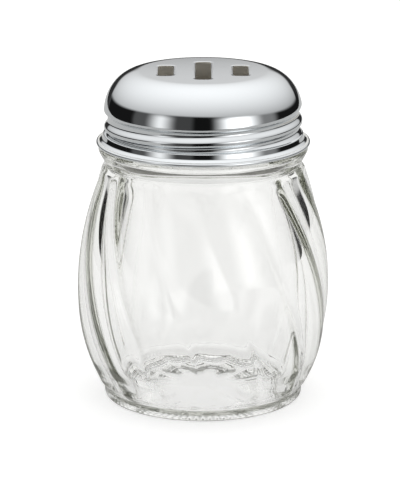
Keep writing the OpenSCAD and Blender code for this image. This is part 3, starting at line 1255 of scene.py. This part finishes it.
        x, y = spot.r * spot.angle.do("COSINE"), spot.r * spot.angle.do("SINE")
        z = spot.z
        for side in (-1, 0, 1):
            length = size["Side slot mm" if side else "Middle slot mm"]
            corner = size["Slot corner mm"]
            across = abs(x - size["Slot pitch mm"] * side) - size["Slot width mm"] / 2 + corner
            along = abs(y) - length / 2 + corner
            out_x, out_y = across.do("MAXIMUM", 0.0), along.do("MAXIMUM", 0.0)
            away = (out_x * out_x + out_y * out_y).do("SQRT") - corner
            near = (1.0 - away / self.roll_width).do("MAXIMUM", 0.0).do("MINIMUM", 1.0)
            z = z - mark[Mark.CROWN] * near * near * size["Roll over mm"]
        return r, z

    def cutter(self, graph: Graph, size: dict[str, Field]) -> list[bpy.types.NodeSocket]:
        """Makes the three punches for the slots.

        Args:
            graph: The tree.
            size: The tree's named sizes.

        Returns:
            The punches' geometry.
        """
        punches = []
        low, high = (self.crown_z - self.punch_below) * MM, (self.crown_z + self.punch_above) * MM
        rail = graph.out("GeometryNodeCurvePrimitiveLine", 0, {"Start": (0, 0, low), "End": (0, 0, high)})
        for side in (-1, 0, 1):
            length = size["Side slot mm" if side else "Middle slot mm"]
            inputs = {"Width": size["Slot width mm"] * MM, "Height": length * MM}
            frame = graph.out("GeometryNodeCurvePrimitiveQuadrilateral", 0, inputs)
            inputs = {"Curve": frame, "Radius": size["Slot corner mm"] * MM, "Count": self.corner_steps}
            shape = graph.out("GeometryNodeFilletCurve", 0, inputs, mode="POLY")
            inputs = {"Curve": rail, "Profile Curve": shape, "Fill Caps": True}
            solid = graph.out("GeometryNodeCurveToMesh", 0, inputs)
            where = graph.out("ShaderNodeCombineXYZ", 0, {0: size["Slot pitch mm"] * (side * MM)})
            inputs = {"Geometry": solid, "Translation": where}
            punches.append(graph.add("GeometryNodeTransform", inputs).outputs[0])
        return punches

    def build(self) -> bpy.types.Object:
        """Builds the lid and sets it on its body.

        Returns:
            The lid.
        """
        chrome = ChromePlate().material()
        lining = Lining(FlashPlate(skirt_z=self.band_top_z).material(), self.dome_side_z)
        section, sizes = self.profile(), self.sizes()
        lathe = Lathe(self.name, section, self.sectors, sizes, self.rule, chrome, self.cutter, lining)
        piece = lathe.build()
        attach(piece, Body.LID.value)
        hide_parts("screw_lid")
        return piece


@dataclass
class SealRing:
    """The flat ring that seals the lid on the glass lip."""

    name: str = "seal_ring_moulded"
    inner_r: float = 25.075
    outer_r: float = 28.45
    low_z: float = 88.0
    thickness: float = 1.2
    edge: float = 0.2
    edge_step: float = 0.4
    sectors: int = 180

    def profile(self) -> Profile:
        """Draws the ring's section, round to its start.

        Returns:
            The profile.
        """
        profile = Profile()
        top = self.low_z + self.thickness
        middle = (self.inner_r + self.outer_r) / 2
        corners = [
            (middle, top, 0),
            (self.outer_r, top, self.edge),
            (self.outer_r, self.low_z, self.edge),
            (self.inner_r, self.low_z, self.edge),
            (self.inner_r, top, self.edge),
            (middle, top, 0),
        ]
        profile.run(Profile.rounded(corners, self.edge_step))
        return profile

    @staticmethod
    def rule(graph: Graph, spot: Spot) -> tuple[Field, Field]:
        """Leaves the ring as it was turned.

        Args:
            graph: The tree; not used.
            spot: The place.

        Returns:
            Its radius and height.
        """
        return spot.r, spot.z

    def build(self) -> bpy.types.Object:
        """Builds the ring and sets it on its body.

        Returns:
            The ring.
        """
        plastic = MouldedPlastic().material()
        piece = Lathe(self.name, self.profile(), self.sectors, {}, self.rule, plastic).build()
        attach(piece, Body.RING.value)
        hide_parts("seal_ring")
        return piece


@dataclass(frozen=True)
class Patch:
    """A soft-edged patch of the studio, seen from the object, in degrees; azimuth 0 is the camera's."""

    left: float
    right: float
    low: float
    high: float
    level: float
    soft: float
    fade: float = 7.0


@dataclass(frozen=True)
class Studio:
    """Pale floor, a broad soft light overhead, dark studio walls with two windows, and the camera."""

    floor: str = "#C8C8C7"
    floor_half: float = 0.55
    floor_front: float = -0.25
    floor_back: float = 1.3
    floor_lift: float = 0.6
    floor_through: float = 0.745
    # Painted light: the strength of a glow painted on the floor under the object and the radii where it fades
    # out; it is seen only through the glass.
    painted_glow_strength: float = 0.5
    floor_gap: float = 0.05
    painted_glow_in: float = 0.024
    painted_glow_out: float = 0.034
    overhead: float = 1.27
    overhead_fall: float = 1.43
    overhead_lean: float = 0.22
    edge_mid: float = 14.0
    edge_lean: float = 12.5
    edge_side: float = 2.5
    edge_soft: float = 2.5
    edge_back: float = 10.0
    wall: float = 0.065
    back_wall: tuple[float, float] = (142.0, 150.0)
    back_rise: tuple[float, float] = (138.0, 156.0)
    backdrop: float = 0.9
    backdrop_top: float = 40.0
    backdrop_fade: float = 10.0
    lens: float = 190.86
    sensor: float = 36.0
    place: tuple[float, float, float] = (-0.00095, -0.745, 0.256)
    pitch: float = 15.67
    inner_bounces: int = 24
    patches: tuple[Patch, ...] = (
        Patch(-142, -87, -90, 90, 0.01, 2.0),
        Patch(92, 152, -90, 90, 0.01, 2.0),
        Patch(-87, -64, -90, 90, 0.1, 6.0),
        Patch(62, 92, -90, 90, 0.25, 7.0),
        Patch(-60, -41, -10, 22, 1.2, 12.0),
        Patch(24, 60, -11.2, 22, 2.1, 16.0),
        Patch(-12, 10, -90, 90, 0.008, 4.0),
    )

    def _world(self) -> None:
        """Lights the object from every direction. The camera itself sees plain white."""
        world = bpy.data.worlds.new("studio_light")
        bpy.context.scene.world = world
        graph = Graph.fresh(world)
        parts = graph.add("ShaderNodeSeparateXYZ", {0: graph.out("ShaderNodeTexCoord", "Generated")})
        x, y, z = (Field(graph, parts.outputs[i]) for i in range(3))
        azimuth = x.do("ARCTAN2", y * -1.0) * (180 / math.pi)
        height = z.do("ARCSINE") * (180 / math.pi)
        level = graph.blend(graph.ramp(abs(azimuth), *self.back_wall), self.wall, self.wall / 2)
        for patch in self.patches:
            soft, fade = patch.soft, patch.fade
            inside = graph.ramp(azimuth, patch.left - soft, patch.left + soft)
            inside = inside * (1.0 - graph.ramp(azimuth, patch.right - soft, patch.right + soft))
            inside = inside * graph.ramp(height, patch.low - fade, patch.low + fade)
            inside = inside * (1.0 - graph.ramp(height, patch.high - fade, patch.high + fade))
            level = graph.blend(inside, level, patch.level)
        facing = y * -1.0 / (x * x + y * y + 1e-6).do("SQRT")
        edge = facing * self.edge_lean + self.edge_mid - x * self.edge_side
        back_edge = graph.ramp(abs(azimuth), *self.back_rise) * self.edge_back
        edge = edge.do("MAXIMUM", back_edge)
        above = z.do("MAXIMUM", 0.0).do("SQRT") * self.overhead_fall
        above = above + (self.overhead - self.overhead_fall) + y * self.overhead_lean
        level = level + graph.ramp(height - edge, -self.edge_soft, self.edge_soft) * (above - level)
        path = graph.add("ShaderNodeLightPath")
        top = self.backdrop_top
        through = Field(graph, path.outputs["Is Transmission Ray"])
        through = through * graph.ramp(abs(azimuth), *self.back_wall)
        through = through * (1.0 - graph.ramp(height, top - self.backdrop_fade, top))
        level = level + through * (level.do("MAXIMUM", self.backdrop) - level)
        seen = Field(graph, path.outputs["Is Camera Ray"])
        level = level + seen * (1.0 - level)
        light = graph.out("ShaderNodeBackground", 0, {"Color": level})
        graph.add("ShaderNodeOutputWorld", {"Surface": light})

    def _floor(self) -> None:
        """Lays the pale floor, which reads white to the eye and keeps the object's shadow, with a glow
        painted under the object where the glass shows it.
        """
        mesh = bpy.data.meshes.new("studio_floor")
        half, front, back, low = self.floor_half, self.floor_front, self.floor_back, -self.floor_gap * MM
        sheet = [(-half, front, low), (half, front, low), (half, back, low), (-half, back, low)]
        mesh.from_pydata(sheet, [], [(0, 1, 2, 3)])
        plane = bpy.data.objects.new("studio_floor", mesh)
        bpy.context.scene.collection.objects.link(plane)
        material = bpy.data.materials.new("studio_paper_matt")
        graph = Graph.fresh(material)
        path = graph.add("ShaderNodeLightPath")
        # Painted light: a glow painted on the floor under the object and seen only through the glass,
        # standing in for the light that real glass lets through to the floor.
        place = graph.out("ShaderNodeTexCoord", "Object")
        away = graph.out("ShaderNodeVectorMath", "Value", {0: place}, operation="LENGTH")
        under = 1.0 - graph.ramp(away, self.painted_glow_in, self.painted_glow_out)
        under = under * self.painted_glow_strength + self.floor_through
        seen = Field(graph, path.outputs["Is Transmission Ray"]) * under
        seen = seen.do("MAXIMUM", Field(graph, path.outputs["Is Camera Ray"]))
        shader = graph.out(
            "ShaderNodeBsdfPrincipled",
            0,
            {
                "Base Color": linear(self.floor),
                "Roughness": 1.0,
                "Specular IOR Level": 0.0,
                "Emission Color": linear("#FFFFFF"),
                "Emission Strength": seen * self.floor_lift,
            },
        )
        graph.add("ShaderNodeOutputMaterial", {"Surface": shader})
        mesh.materials.append(material)
        plane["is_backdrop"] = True

    def _camera(self) -> None:
        """Stands the camera where the photograph was taken."""
        data = bpy.data.cameras.new("photo_camera")
        data.lens, data.sensor_width = self.lens, self.sensor
        camera = bpy.data.objects.new("photo_camera", data)
        camera.location = self.place
        camera.rotation_euler = (math.radians(90 - self.pitch), 0, 0)
        bpy.context.scene.collection.objects.link(camera)
        bpy.context.scene.camera = camera

    def build(self) -> None:
        """Builds the stage."""
        scene = bpy.context.scene
        scene.view_settings.view_transform = "Standard"
        # Light goes to and fro many times inside the thick foot before it comes out.
        for kind in ("max", "glossy", "transmission"):
            setattr(scene.cycles, kind + "_bounces", self.inner_bounces)
        self._world()
        self._floor()
        self._camera()
        LOG.info("studio: camera at %s", self.place)


def corners() -> list[list[float]]:
    """Bounds of the shown object.

    Returns:
        Its lowest and highest corner, as plain lists.
    """
    return [list(corner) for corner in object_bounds()]


def main() -> None:
    """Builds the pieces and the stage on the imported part."""
    logging.basicConfig(level=logging.INFO, format="%(name)s: %(message)s")
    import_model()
    for part in (GlassJar(), ScrewLid(), SealRing()):
        part.build()
    Studio().build()


if __name__ == "__main__":
    main()
